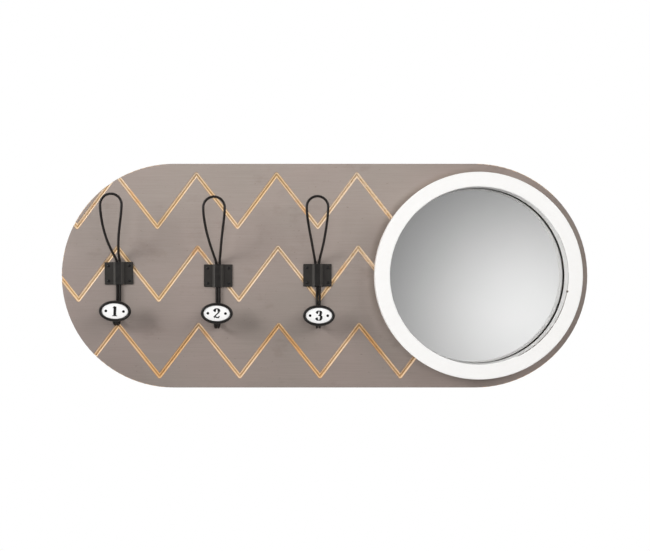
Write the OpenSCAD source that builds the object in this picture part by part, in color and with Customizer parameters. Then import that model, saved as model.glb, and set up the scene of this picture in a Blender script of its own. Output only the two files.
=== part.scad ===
// Wall board with round ends, three bent-wire coat hooks and a round mirror in a turned ring.
// Each piece is drawn in the plane of the wall, with x to the right, y up and z out from the
// wall, and wall_mounted() then stands it up, so that the finished part faces -Y with +Z up.
// Origin: the middle of the board's back face.

/* [Board] */
// Length of the board from end to end
board_l = 700; // [660:10:1000]
// Height of the board, which is also the diameter of its round ends
board_h = 298; // [296:1:340]
// Thickness of the board
board_t = 15; // [14:0.5:25]
// Rounding along the board's edges
board_edge_r = 1; // [0.5:0.25:2]

/* [Zigzag grooves] */
// Width of the routed grooves at the board's face
groove_w = 6; // [3:0.5:9]
// Depth of the routed grooves
groove_depth = 2.8; // [1:0.2:4]
// Distance along the board from a low corner to the next high corner
zigzag_step = 53.4; // [40:0.2:70]
// Height of each zigzag row from its low corners to its high corners
zigzag_rise = [69.9, 69.3, 68.4]; // [40:0.1:80]
// Distance from the board's left end to the first low corner
zigzag_start = 21.8; // [5:0.2:40]
// How far each row is shifted to the right, as it was routed
zigzag_shift = [-1.2, 0.6, 1.75]; // [-2:0.05:2]
// How far the high corners lie to the right of the middle between their low corners
zigzag_lean = -1.4; // [-3:0.1:3]
// Middle height of each zigzag row above the board's middle
zigzag_rows = [99.8, 2.6, -99.8]; // [-110:0.1:110]

/* [Mirror and ring] */
// Outer diameter of the ring round the mirror
ring_d = 270.5; // [250:0.5:290]
// Width of the ring's front face
ring_w = 19.5; // [16:0.5:26]
// How far the ring stands out from the board
ring_t = 24; // [20:1:40]
// Rounding of the ring's front edges
ring_edge_r = 1.2; // [0.5:0.1:2.5]
// Thickness of the mirror
mirror_t = 3; // [2:0.5:6]
// How far the ring laps over the mirror's edge
mirror_lap = 6; // [4:0.5:7]
// Gap between the mirror's edge and the rebate round it
mirror_gap = 0.5; // [0.2:0.1:1]
// Depth of the rebate at the ring's back
rebate_t = 8; // [7.6:0.1:10]
// Thickness of the pads that the mirror is stuck down with
pad_t = 2; // [1:0.1:2.5]
// Width and height of a pad
pad_w = 40; // [25:1:50]
// Distance from the ring's middle to each pad's middle
pad_r = 82; // [60:1:85]

/* [Ring screws] */
// Number of screws through the board into the ring
ring_screws = 6; // [4:1:10]
// Angle of the first ring screw, seen from the front
ring_screw_start = 15; // [10:1:20]
// Diameter of the ring screws' shanks
ring_screw_d = 3.5; // [3:0.5:4]
// Length of the ring screws
ring_screw_l = 30; // [22:1:32]

/* [Hook placing] */
// Distance from the board's left end to the middle of the first hook
hook_start = 76.6; // [70:0.2:90]
// Distance between neighbouring hooks
hook_pitch = 132; // [110:0.1:135]
// Height of each hook's bracket above the board's middle
hook_rise = [3.2, 0, 0.6]; // [-10:0.1:10]
// Turn of each bracket, as it was screwed on
bracket_turn = [0.9, 0, 0]; // [-2:0.1:2]
// How far each wire lies to the right of its bracket's middle below the bracket
sway_low = [-0.2, -0.1, 1.1]; // [-1.1:0.1:1.1]
// The same at the bracket's top edge
sway_exit = [-0.8, -0.2, -0.4]; // [-1:0.1:1]
// The same at the height where the loop leans most
sway_lean = [-1.7, -0.2, 0.6]; // [-2:0.1:2]
// The same at the loop's top
sway_top = [0.1, 0, 0.4]; // [-1:0.1:1]
// Height above the bracket's middle where each loop leans most
sway_y = [28, 45, 45]; // [24:1:60]

/* [Hook wire] */
// Diameter of the hook wire
wire_d = 3.3; // [2.6:0.1:3.4]
// Gap between the two runs of the wire in the bracket
wire_gap = 0.3; // [0.2:0.1:0.8]
// Height of each loop's top above its bracket's middle, along the wire's centre line
loop_top = [101.6, 101, 101]; // [90:0.2:120]
// Half the width of the loop, to the wire's centre line
loop_r = 13.7; // [10:0.1:16]
// How far the loop's top stands out from the board, to the wire's centre line
loop_reach = 41; // [36:0.5:60]
// Lean of the wire away from the board above the bracket
loop_lean = 45; // [35:1:55]
// Radius of the sharp bend above the bracket
lower_bend_r = 6; // [4:0.5:8]
// Radius of the long bend back to upright
upper_bend_r = 72; // [50:1:80]
// Half the distance between each loop's sides at the sharp bend, to the wire's centre line
exit_x = [2.5, 2.8, 3.1]; // [2.2:0.1:3.2]
// How much the loop's sides spread at first
loop_spread = 0.11; // [0.05:0.01:0.2]
// Radius of the hook's lower bend, to the wire's centre line
foot_bend_r = 9.5; // [8:0.1:14]
// Depth of each lower bend's middle below its bracket's middle
foot_drop = [58.1, 58.7, 59.3]; // [50:0.1:70]

/* [Hook bracket] */
// Width of the folded bracket
bracket_w = 37.8; // [36:0.2:46]
// Height of the folded bracket
bracket_h = 30; // [24:0.5:36]
// Thickness of the bracket's sheet
sheet_t = 1.2; // [0.8:0.1:1.6]
// Width of the flat top of the bracket's channel
channel_w = 8.4; // [8.2:0.2:10]
// Slope of the channel's sides
channel_slope = 50; // [40:1:60]
// Radius of the bends along the middle of the sheet
fold_r = 1.2; // [1:0.1:1.8]
// Rounding of the bracket's corners
bracket_corner_r = 1.2; // [0.4:0.2:2.4]
// Distance from the bracket's edges to the screws
bracket_screw_inset = 5; // [4:0.1:6]
// Diameter of the bracket screws' shanks
bracket_screw_d = 2.2; // [1.8:0.1:2.6]
// Diameter of the bracket screws' heads
bracket_head_d = 4; // [3.4:0.1:4.6]
// Height of the bracket screws' heads
bracket_head_h = 1.2; // [0.8:0.1:1.6]
// Length of the bracket screws below the head
bracket_screw_l = 10; // [7:0.5:12]

/* [Badge] */
// Width of the oval cup
badge_w = 41.5; // [36:0.5:48]
// Height of the oval cup
badge_h = 27.4; // [22:0.2:30]
// Depth of the oval cup
badge_depth = 5.6; // [5:0.1:8]
// Thickness of the cup's floor
badge_floor_t = 1.9; // [1.6:0.1:2.2]
// Width of the cup's rounded rim
badge_rim_w = 3.5; // [2.4:0.1:3.6]
// Thickness of the white plate at its edge
plate_t = 2; // [1:0.1:2.2]
// Crown of the white plate's face
plate_crown = 0.4; // [0.2:0.1:0.8]
// Distance between the two pins through the plate
pin_pitch = 22.8; // [18:0.2:24]
// Diameter of the pins' heads
pin_head_d = 2.6; // [2:0.1:3.2]
// Height of the pins' heads
pin_head_h = 0.7; // [0.4:0.1:1]
// Diameter of the pins' shanks
pin_shank_d = 1.4; // [1:0.1:1.6]
// Depth of each badge's middle below its bracket's middle
badge_drop = [49.3, 49, 52.5]; // [46:0.1:56]
// How far each badge sits to the right of its wire's middle
badge_shift = [1.3, 1.5, 1]; // [-2:0.1:2]
// Turn of each badge on its wire
badge_turn = [-2, -1, -0.3]; // [-3:0.1:3]

/* [Wall hangers] */
// Distance between the two keyhole hangers
hanger_pitch = 400; // [360:5:440]
// Height of the hangers' middles above the board's middle
hanger_up = 70; // [55:1:75]
// Length of a hanger plate
hanger_l = 46; // [44:1:56]
// Width of a hanger plate
hanger_w = 16; // [15:0.5:20]
// Thickness of a hanger plate
hanger_t = 1.5; // [1.2:0.1:2]
// Diameter of the keyhole's round entry
keyhole_d = 9.2; // [8.6:0.2:10]
// Width of the keyhole's slot
keyhole_slot_w = 4.6; // [4:0.1:5]
// Length of the slot from the entry's middle to the slot's top arc
keyhole_slot_l = 9; // [7:0.5:10]
// Depth of the pocket behind the plate for the wall screw's head
pocket_depth = 7; // [5:0.5:8]
// Room beside the keyhole's entry inside the pocket, on each side
pocket_room = 1; // [0.5:0.1:1.2]
// Distance from a hanger plate's ends to its screws
hanger_screw_inset = 4.5; // [4:0.1:5]
// Diameter of the hanger screws' shanks
hanger_screw_d = 2.8; // [2.4:0.1:3]
// Length of the hanger screws
hanger_screw_l = 11; // [8:0.5:12]

/* [Fits] */
// Clearance round a screw's shank, and round a piece let into another
fit_gap = 0.1; // [0.05:0.05:0.15]

/* [Hidden] */
$fn = 96;

cut = 1;                                   // how far a cutting body runs past a face

end_r = board_h / 2;                       // radius of the board's round ends
end_x = board_l / 2 - end_r;               // their centres, left and right of the middle
ring_x = end_x;                            // the ring shares the right end's centre
ring_r = ring_d / 2;
mirror_r = ring_r - ring_w + mirror_lap;
rebate_r = mirror_r + mirror_gap;
ring_screw_r = (ring_r + rebate_r) / 2;    // the screws run up the middle of the ring's back

wire_r = wire_d / 2;
run_x = (wire_d + wire_gap) / 2;           // each run of the wire to the middle between them
run_z = wire_r + fit_gap / 2;              // the runs' height above the board's face
front_z = run_z + 2 * foot_bend_r;         // the wire's height at the badge
channel_h = wire_d + fit_gap;              // clear height under the channel

badge_a = badge_w / 2;
badge_b = badge_h / 2;
rim_r = badge_rim_w / 2;
seat = 0.5;                                // how deep the wire beds into the cup's back
badge_z = front_z + wire_r - seat;         // the cup's back above the board's face
tip_above_badge = 4;                       // the wire's ends above the badge's middle
pin_depth = 1;                             // how deep the pins' holes go into the cup's floor
screw_tip_r = 0.2;                         // the blunt end of a screw's point
plate_a = badge_a - badge_rim_w - fit_gap;
plate_b = badge_b - badge_rim_w - fit_gap;

hook_x = [for (i = [0:2]) -board_l / 2 + hook_start + i * hook_pitch];

// ---- shared functions ----

function unit(v) = v / norm(v);
function left_of(v) = [-v[1], v[0]];
function bend(centre, r, from, to, steps) =
    [for (k = [0:steps]) let (a = from + (to - from) * k / steps)
        centre + r * [cos(a), sin(a)]];

// ---- shared modules ----

// Stands a piece drawn in the wall's plane up, so that z out of the wall becomes -Y
module wall_mounted() {
    rotate([90, 0, 0]) children();
}

// Moves a piece from a bracket's middle, on the board's face, to hook i's place
module at_hook(i) {
    translate([hook_x[i], hook_rise[i], board_t]) children();
}

// Moves a piece from the badge's middle, at the back of its cup, to hook i's wire
module at_badge(i) {
    at_hook(i) translate([sway_low[i] + badge_shift[i], -badge_drop[i], badge_z])
        rotate(badge_turn[i]) children();
}

// A countersunk screw along +z, with its flat head at z = 0
module countersunk_screw(d, l) {
    head_h = d / 2;
    difference() {
        union() {
            cylinder(h = head_h, r1 = d, r2 = d / 2);
            translate([0, 0, head_h]) cylinder(h = l - head_h - d, d = d);
            translate([0, 0, l - d]) cylinder(h = d, r1 = d / 2, r2 = screw_tip_r);
        }
        cross_slot(d * 1.1, d * 0.2, d * 0.35);
    }
}

// The hole that a countersunk screw needs, with clearance on every side
module countersunk_hole(d, l) {
    head_h = d / 2;
    translate([0, 0, -cut]) cylinder(h = cut, r = d + fit_gap);
    cylinder(h = head_h, r1 = d + fit_gap, r2 = d / 2 + fit_gap);
    cylinder(h = l + fit_gap, d = d + 2 * fit_gap);
}

// A round head on z = 0: the cap of a sphere
module round_head(r, h) {
    dome_r = (pow(r, 2) + pow(h, 2)) / (2 * h);
    intersection() {
        cylinder(h = h + cut, r = r);
        translate([0, 0, h - dome_r]) sphere(dome_r);
    }
}

// A cross recess sunk from z = 0 upwards
module cross_slot(l, w, depth) {
    for (turn = [0, 90])
        rotate(turn) translate([-l / 2, -w / 2, -cut]) cube([l, w, depth + cut]);
}

// ---- board ----

// Half of the board's cross-section: x from its middle line outwards, y through its thickness
module board_section() {
    translate([0, board_edge_r]) square([end_r, board_t - 2 * board_edge_r]);
    square([end_r - board_edge_r, board_t]);
    for (y = [board_edge_r, board_t - board_edge_r])
        translate([end_r - board_edge_r, y]) circle(board_edge_r);
}

// The board without its cuts: two turned half rounds and a straight middle
module board_blank() {
    for (side = [-1, 1])
        translate([side * end_x, 0, 0]) rotate(-90 * side)
            rotate_extrude(angle = 180) board_section();
    for (side = [0, 1]) mirror([0, side, 0])
        translate([-end_x, 0, 0]) rotate([90, 0, 90])
            linear_extrude(2 * end_x) board_section();
}

// Corner i of a zigzag row, from beyond the board's left end to beyond the ring's middle
function zigzag_corner(row, i) =
    [-board_l / 2 + zigzag_start + zigzag_shift[row] + (i - 1) * zigzag_step
         + (i % 2 == 1 ? 0 : zigzag_lean),
     zigzag_rows[row] + (i % 2 == 1 ? -1 : 1) * zigzag_rise[row] / 2];
zigzag_corners = floor((ring_x - ring_r / 2 + board_l / 2 - zigzag_start) / zigzag_step) + 2;

// One row's cutter: a V along the zigzag, its flanks mitred at the inner corners and turned
// round the outer ones, as a V-shaped router bit leaves them
module zigzag_cutter(row) {
    over = 0.4;                                     // height of the cutter above the face
    half = groove_w / 2 * (1 + over / groove_depth);
    n = zigzag_corners;
    fan = 4;                                        // flats round an outer corner
    corner = [for (i = [0:n - 1]) zigzag_corner(row, i)];
    dir = [for (i = [0:n - 2]) unit(corner[i + 1] - corner[i])];
    // Points of one side at corner i: a mitre where the row turns to that side, else a fan
    function side_points(i, side) =
        i == 0 ? [corner[0] + side * half * left_of(dir[0])] :
        i == n - 1 ? [corner[i] + side * half * left_of(dir[n - 2])] :
        let (a = left_of(dir[i - 1]), b = left_of(dir[i]), mid = unit(a + b),
             turn = cross(dir[i - 1], dir[i]))
        turn * side > 0 ? [corner[i] + side * half / (a * mid) * mid] :
        [for (k = [0:fan]) corner[i] + side * half * unit(a * (1 - k / fan) + b * k / fan)];
    left = [for (i = [0:n - 1]) side_points(i, 1)];
    right = [for (i = [0:n - 1]) side_points(i, -1)];
    function total(list, i) = i == 0 ? 0 : len(list[i - 1]) + total(list, i - 1);
    left_n = total(left, n);
    right_n = total(right, n);
    function l_first(i) = total(left, i);
    function l_last(i) = total(left, i + 1) - 1;
    function r_first(i) = left_n + total(right, i);
    function r_last(i) = left_n + total(right, i + 1) - 1;
    function deep(i) = left_n + right_n + i;
    points = concat(
        [for (list = [left, right], at = list, p = at) [p[0], p[1], over]],
        [for (p = corner) [p[0], p[1], -groove_depth]]);
    faces = concat(
        [for (i = [0:n - 2]) each [
            [l_last(i), l_first(i + 1), r_first(i + 1)], [l_last(i), r_first(i + 1), r_last(i)],
            [deep(i), deep(i + 1), l_first(i + 1)], [deep(i), l_first(i + 1), l_last(i)],
            [deep(i + 1), deep(i), r_last(i)], [deep(i + 1), r_last(i), r_first(i + 1)]]],
        [for (i = [1:n - 2], k = [0:fan - 1]) each (len(left[i]) > 1
            ? [[l_first(i) + k, l_first(i) + k + 1, r_first(i)],
               [deep(i), l_first(i) + k + 1, l_first(i) + k]]
            : [[r_first(i) + k + 1, r_first(i) + k, l_first(i)],
               [deep(i), r_first(i) + k, r_first(i) + k + 1]])],
        [[l_first(0), r_first(0), deep(0)], [r_first(n - 1), l_first(n - 1), deep(n - 1)]]);
    translate([0, 0, board_t]) polyhedron(points, faces);
}

// The three rows end under the middle of the ring's back
module zigzag_cutters() {
    difference() {
        for (row = [0:len(zigzag_rows) - 1]) zigzag_cutter(row);
        translate([ring_x, 0, board_t - groove_depth - cut])
            cylinder(h = groove_depth + 2 * cut, r = ring_screw_r);
    }
}

module board() {
    color("#a0958f") wall_mounted() difference() {
        board_blank();
        zigzag_cutters();
        for (i = [0:2]) at_bracket_screws(i)
            translate([0, 0, -bracket_screw_l - fit_gap])
                cylinder(h = bracket_screw_l + fit_gap + cut, d = bracket_screw_d + 2 * fit_gap);
        at_ring_screws() countersunk_hole(ring_screw_d, ring_screw_l);
        for (side = [-1, 1]) hanger_cuts(side);
    }
}

// ---- mirror and ring ----

module at_ring_screws() {
    translate([ring_x, 0, 0])
        for (k = [0:ring_screws - 1]) rotate(ring_screw_start + 360 * k / ring_screws)
            translate([ring_screw_r, 0, 0]) children();
}

// The ring's section: rounded at both front edges, with a rebate at the back for the mirror
module ring_section() {
    inner = ring_r - ring_w;
    difference() {
        union() {
            translate([inner, 0]) square([ring_w, ring_t - ring_edge_r]);
            translate([inner + ring_edge_r, 0]) square([ring_w - 2 * ring_edge_r, ring_t]);
            for (x = [inner + ring_edge_r, ring_r - ring_edge_r])
                translate([x, ring_t - ring_edge_r]) circle(ring_edge_r);
        }
        translate([inner - cut, -cut]) square([rebate_r - inner + cut, rebate_t + cut]);
    }
}

module mirror_frame() {
    color("#f5f3ee") wall_mounted() difference() {
        translate([ring_x, 0, board_t]) rotate_extrude($fn = 180) ring_section();
        at_ring_screws() countersunk_hole(ring_screw_d, ring_screw_l);
    }
}

module mirror_glass() {
    color("#c8cccf") wall_mounted()
        translate([ring_x, 0, board_t + pad_t]) cylinder(h = mirror_t, r = mirror_r, $fn = 180);
}

// Four square pads between the mirror's back and the board
module mirror_pads() {
    color("#e6e4df") wall_mounted() translate([ring_x, 0, board_t])
        for (turn = [45:90:315]) rotate(turn)
            translate([pad_r - pad_w / 2, -pad_w / 2, 0]) cube([pad_w, pad_w, pad_t]);
}

module mirror_frame_screws() {
    color("#c9b36a") wall_mounted() at_ring_screws() countersunk_screw(ring_screw_d, ring_screw_l);
}

// ---- hook wire ----

lower_top_y = bracket_h / 2 + lower_bend_r * sin(loop_lean);
lower_top_z = run_z + lower_bend_r * (1 - cos(loop_lean));
lean_l = (loop_reach - lower_top_z - upper_bend_r * (1 - cos(loop_lean))) / sin(loop_lean);
upper_start_y = lower_top_y + lean_l * cos(loop_lean);
upper_end_y = upper_start_y + upper_bend_r * sin(loop_lean);

// Height of the wire above the board at height y above the bracket's middle
function wire_z(y) =
    y <= bracket_h / 2 ? run_z :
    y <= lower_top_y ? run_z + lower_bend_r - sqrt(pow(lower_bend_r, 2) - pow(y - bracket_h / 2, 2)) :
    y <= upper_start_y ? lower_top_z + (y - lower_top_y) * tan(loop_lean) :
    y < upper_end_y ? loop_reach - upper_bend_r + sqrt(pow(upper_bend_r, 2) - pow(upper_end_y - y, 2)) :
    loop_reach;

// Height where the sides of hook i's loop are upright, and its round top begins
function loop_y(i) = loop_top[i] - loop_r;

// Half the distance between hook i's two strands at height y: the runs' spacing below the
// bracket, opening to exit_x[i] at the sharp bend, then a steady spread that ends upright
function wire_x(i, y) =
    let (low = -bracket_h / 2, exit_y = bracket_h / 2 + lower_bend_r, l = loop_y(i) - exit_y,
         s = (y - exit_y) / l, steady = ((loop_r - exit_x[i]) / l - loop_spread / 2) * 7 / 6)
    y <= low ? run_x :
    y <= exit_y ? run_x + (exit_x[i] - run_x) * pow((y - low) / (exit_y - low), 4) :
    exit_x[i] + l * (loop_spread * s * (1 - s / 2) + steady * s * (1 - pow(s, 6) / 7));

// A smooth step from one value to another as y runs from low to high
function eased(y, low, high, from, to) =
    let (s = min(1, max(0, (y - low) / (high - low))))
    from + (to - from) * s * s * (3 - 2 * s);

// Where the middle between hook i's two strands lies at height y
function sway(i, y) =
    y <= bracket_h / 2 ? eased(y, -bracket_h / 2, bracket_h / 2, sway_low[i], sway_exit[i]) :
    y <= sway_y[i] ? eased(y, bracket_h / 2, sway_y[i], sway_exit[i], sway_lean[i]) :
    eased(y, sway_y[i], loop_y(i), sway_lean[i], sway_top[i]);

// Right-hand half from the wire's end behind the badge to the loop's top, as seen from the
// middle between the strands
function wire_half(i) =
    let (foot_z = run_z + foot_bend_r, top_y = loop_y(i),
         sides = concat(
             [for (k = [0:3]) -bracket_h / 2 + bracket_h * k / 4],
             [for (k = [0:3]) bracket_h / 2 + lower_bend_r * sin(loop_lean * k / 3)],
             [for (k = [1:2]) lower_top_y + (upper_start_y - lower_top_y) * k / 3],
             [for (k = [0:9]) upper_start_y + (top_y - upper_start_y) * k / 10]))
    concat(
        [[run_x, tip_above_badge - badge_drop[i], front_z]],
        [for (a = [0:15:180]) [run_x, -foot_drop[i] - foot_bend_r * sin(a), foot_z + foot_bend_r * cos(a)]],
        [for (y = sides) [wire_x(i, y), y, wire_z(y)]],
        [for (a = [0:10:90]) [loop_r * cos(a), top_y + loop_r * sin(a), wire_z(top_y + loop_r * sin(a))]]);

// The whole centre line: the right-hand half up, then its mirror image down
function wire_path(i) =
    let (half = wire_half(i), n = len(half))
    [for (k = [0:2 * n - 2])
        let (p = half[min(k, 2 * n - 2 - k)], side = k < n ? 1 : -1)
        [sway(i, p[1]) + side * p[0], p[1], p[2]]];

function path_dir(path, k) = unit(path[min(k + 1, len(path) - 1)] - path[max(k - 1, 0)]);

// A tube of round section along a path, its rings carried from one point to the next untwisted
module tube(path, r, sides) {
    n = len(path);
    dir = [for (k = [0:n - 1]) path_dir(path, k)];
    across = [for (k = 0, v = [1, 0, 0]; k < n;
                   k = k + 1, v = k < n ? unit(v - (v * dir[k]) * dir[k]) : v) v];
    points = [for (k = [0:n - 1], j = [0:sides - 1])
        path[k] + r * (cos(360 * j / sides) * across[k]
                       + sin(360 * j / sides) * cross(dir[k], across[k]))];
    faces = concat(
        [[for (j = [0:sides - 1]) j]],
        [for (k = [0:n - 2], j = [0:sides - 1])
            let (a = k * sides + j, b = k * sides + (j + 1) % sides)
            each [[a, a + sides, b + sides], [a, b + sides, b]]],
        [[for (j = [sides - 1:-1:0]) (n - 1) * sides + j]]);
    polyhedron(points, faces);
}

module hook_wire(i) {
    color("#2b2826") wall_mounted() at_hook(i) tube(wire_path(i), wire_r, 10);
}

// ---- hook bracket ----

// One surface of a folded sheet whose middle runs through the corners, on the given side
function folded_side(corners, side) =
    let (n = len(corners))
    [for (i = [0:n - 1]) each (
        i == 0 || i == n - 1
        ? let (d = unit(corners[min(i + 1, n - 1)] - corners[max(i - 1, 0)]))
          [corners[i] + side * sheet_t / 2 * left_of(d)]
        : let (d0 = unit(corners[i] - corners[i - 1]), d1 = unit(corners[i + 1] - corners[i]),
               turn = sign(cross(d0, d1)), half = acos(d0 * d1) / 2,
               centre = corners[i] + unit(d1 - d0) * fold_r / cos(half),
               out = -turn * left_of(d0), from = atan2(out[1], out[0]))
          bend(centre, fold_r - turn * side * sheet_t / 2, from, from + turn * 2 * half, 4))];

// The bracket's section: flange, raised channel, flange; y is the height above the board
module bracket_section() {
    top = channel_h + sheet_t / 2;
    top_x = channel_w / 2;
    foot_x = top_x + channel_h / tan(channel_slope);
    middle = [[-bracket_w / 2, sheet_t / 2], [-foot_x, sheet_t / 2], [-top_x, top],
              [top_x, top], [foot_x, sheet_t / 2], [bracket_w / 2, sheet_t / 2]];
    below = folded_side(middle, -1);
    polygon(concat(folded_side(middle, 1), [for (k = [len(below) - 1:-1:0]) below[k]]));
}

module at_bracket_screws(i) {
    at_hook(i) rotate(bracket_turn[i])
        for (sx = [-1, 1], sy = [-1, 1])
            translate([sx * (bracket_w / 2 - bracket_screw_inset),
                       sy * (bracket_h / 2 - bracket_screw_inset), 0]) children();
}

module hook_bracket(i) {
    blank_x = bracket_w / 2 - bracket_corner_r;
    blank_y = bracket_h / 2 - bracket_corner_r;
    color("#35322f") wall_mounted() difference() {
        at_hook(i) rotate(bracket_turn[i]) intersection() {
            rotate([90, 0, 0]) linear_extrude(bracket_h, center = true) bracket_section();
            translate([0, 0, -cut]) linear_extrude(channel_h + sheet_t + 2 * cut) {
                square([bracket_w, 2 * blank_y], center = true);
                square([2 * blank_x, bracket_h], center = true);
                for (x = [-blank_x, blank_x], y = [-blank_y, blank_y])
                    translate([x, y]) circle(bracket_corner_r);
            }
        }
        at_bracket_screws(i) translate([0, 0, -cut])
            cylinder(h = sheet_t + 2 * cut, d = bracket_screw_d + 2 * fit_gap);
    }
}

// Round-head screws that hold the bracket's flanges down
module bracket_screws(i) {
    head_r = bracket_head_d / 2;
    point_l = 2;
    color("#1f1d1b") wall_mounted() at_bracket_screws(i) translate([0, 0, sheet_t]) {
        difference() {
            round_head(head_r, bracket_head_h);
            translate([0, 0, bracket_head_h]) mirror([0, 0, 1])
                cross_slot(head_r * 1.3, head_r * 0.25, bracket_head_h * 0.55);
        }
        translate([0, 0, -bracket_screw_l + point_l])
            cylinder(h = bracket_screw_l - point_l, d = bracket_screw_d);
        translate([0, 0, -bracket_screw_l])
            cylinder(h = point_l, r1 = screw_tip_r, r2 = bracket_screw_d / 2);
    }
}

// ---- badge ----

// A solid of oval rings: each profile point gives how far in from the oval's edge, and how high
module oval_rings(a, b, profile, sides) {
    n = len(profile);
    points = [for (p = profile, j = [0:sides - 1])
        [(a - p[0]) * cos(360 * j / sides), (b - p[0]) * sin(360 * j / sides), p[1]]];
    faces = concat(
        [[for (j = [0:sides - 1]) j]],
        [for (k = [0:n - 2], j = [0:sides - 1])
            let (p = k * sides + j, q = k * sides + (j + 1) % sides)
            each [[p, p + sides, q + sides], [p, q + sides, q]]],
        [[for (j = [sides - 1:-1:0]) (n - 1) * sides + j]]);
    polyhedron(points, faces);
}

// Black cup: rounded back edge, straight side, rounded rim and a flat floor for the plate
module badge_cup(i) {
    back_r = 1.3;
    profile = concat(
        [for (a = [0:30:90]) back_r * [1 - sin(a), 1 - cos(a)]],
        [for (a = [0:22.5:180]) [rim_r * (1 - cos(a)), badge_depth - rim_r + rim_r * sin(a)]],
        [[badge_rim_w, badge_floor_t]]);
    color("#2a2725") wall_mounted() difference() {
        at_badge(i) oval_rings(badge_a, badge_b, profile, 48);
        at_badge(i) pin_places() translate([0, 0, badge_floor_t - pin_depth])
            cylinder(h = pin_depth + cut, d = pin_shank_d + 2 * fit_gap);
        // seats for the wire's two ends
        at_hook(i) for (side = [-1, 1])
            translate([sway_low[i] + side * run_x, tip_above_badge - badge_drop[i] + fit_gap, front_z])
                rotate([90, 0, 0]) cylinder(h = badge_h, r = wire_r + fit_gap / 2);
    }
}

// Height of the plate's domed face above its back, at a share s of the way to its edge
function plate_face(s) = plate_t + plate_crown * (1 - s * s);

module pin_places() {
    for (side = [-1, 1]) translate([side * pin_pitch / 2, 0, 0]) children();
}

// White oval plate with an eased edge and a slightly domed face
module badge_plate(i) {
    ease = 0.5;
    profile = concat(
        [[0, 0], [0, plate_t - ease]],
        [for (s = [0.97, 0.85, 0.6, 0.3]) [plate_b * (1 - s), plate_face(s)]]);
    color("#f4f2ea") wall_mounted() difference() {
        at_badge(i) translate([0, 0, badge_floor_t]) oval_rings(plate_a, plate_b, profile, 48);
        at_badge(i) pin_places() translate([0, 0, badge_floor_t - cut])
            cylinder(h = plate_t + plate_crown + 2 * cut, d = pin_shank_d + 2 * fit_gap);
    }
}

// Two round-head pins that hold the plate in its cup
module badge_pins(i) {
    head_r = pin_head_d / 2;
    foot_z = badge_floor_t - pin_depth + fit_gap;
    // the heads sit on the highest spot of the dome under them, inset from the plate's end by:
    inset = plate_a - pin_pitch / 2 + head_r;
    head_z = badge_floor_t + plate_face(max(0, 1 - inset / plate_b)) + fit_gap / 2;
    color("#171615") wall_mounted() at_badge(i) pin_places() {
        translate([0, 0, head_z]) round_head(head_r, pin_head_h);
        translate([0, 0, foot_z]) cylinder(h = head_z - foot_z, d = pin_shank_d);
    }
}

// ---- wall hangers ----

hanger_screw_y = hanger_l / 2 - hanger_screw_inset;
keyhole_y = -(keyhole_slot_l - keyhole_slot_w / 2) / 2;   // the entry's middle, below the plate's

module at_hanger(side) {
    translate([side * hanger_pitch / 2, hanger_up, 0]) children();
}

// A flat outline with round ends, upright
module upright_slot(l, w) {
    square([w, l - w], center = true);
    for (y = [-1, 1]) translate([0, y * (l - w) / 2]) circle(d = w);
}

// The keyhole: round entry with a slot above it
module keyhole() {
    slot_top = keyhole_slot_l - keyhole_slot_w / 2;
    translate([0, keyhole_y]) {
        circle(d = keyhole_d);
        translate([-keyhole_slot_w / 2, 0]) square([keyhole_slot_w, slot_top]);
        translate([0, slot_top]) circle(d = keyhole_slot_w);
    }
}

module at_hanger_screws(side) {
    at_hanger(side) for (y = [-1, 1]) translate([0, y * hanger_screw_y, 0]) children();
}

// Recess for the plate, the pocket behind its keyhole and the screws' holes
module hanger_cuts(side) {
    pocket_w = keyhole_d + 2 * pocket_room;
    pocket_l = keyhole_slot_l + keyhole_d / 2 + pocket_w / 2;
    at_hanger(side) {
        translate([0, 0, -cut])
            linear_extrude(hanger_t + cut) upright_slot(hanger_l + 2 * fit_gap, hanger_w + 2 * fit_gap);
        translate([0, keyhole_y + (pocket_l - pocket_w) / 2, hanger_t - cut])
            linear_extrude(pocket_depth + cut) upright_slot(pocket_l, pocket_w);
    }
    at_hanger_screws(side) countersunk_hole(hanger_screw_d, hanger_screw_l);
}

module hanger_plate(side) {
    color("#b9bcc0") wall_mounted() difference() {
        at_hanger(side) linear_extrude(hanger_t) difference() {
            upright_slot(hanger_l, hanger_w);
            keyhole();
        }
        at_hanger_screws(side) countersunk_hole(hanger_screw_d, hanger_screw_l);
    }
}

module hanger_screws(side) {
    color("#c4c6c9") wall_mounted() at_hanger_screws(side)
        countersunk_screw(hanger_screw_d, hanger_screw_l);
}

board();
mirror_frame();
mirror_glass();
mirror_pads();
mirror_frame_screws();
hook_wire(0);  // hook_wire_1
hook_wire(1);  // hook_wire_2
hook_wire(2);  // hook_wire_3
hook_bracket(0);  // hook_bracket_1
hook_bracket(1);  // hook_bracket_2
hook_bracket(2);  // hook_bracket_3
bracket_screws(0);  // bracket_screws_1
bracket_screws(1);  // bracket_screws_2
bracket_screws(2);  // bracket_screws_3
badge_cup(0);  // badge_cup_1
badge_cup(1);  // badge_cup_2
badge_cup(2);  // badge_cup_3
badge_plate(0);  // badge_plate_1
badge_plate(1);  // badge_plate_2
badge_plate(2);  // badge_plate_3
badge_pins(0);  // badge_pins_1
badge_pins(1);  // badge_pins_2
badge_pins(2);  // badge_pins_3
hanger_plate(-1);  // hanger_plate_left
hanger_plate(1);  // hanger_plate_right
hanger_screws(-1);  // hanger_screws_left
hanger_screws(1);  // hanger_screws_right
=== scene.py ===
import math

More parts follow.
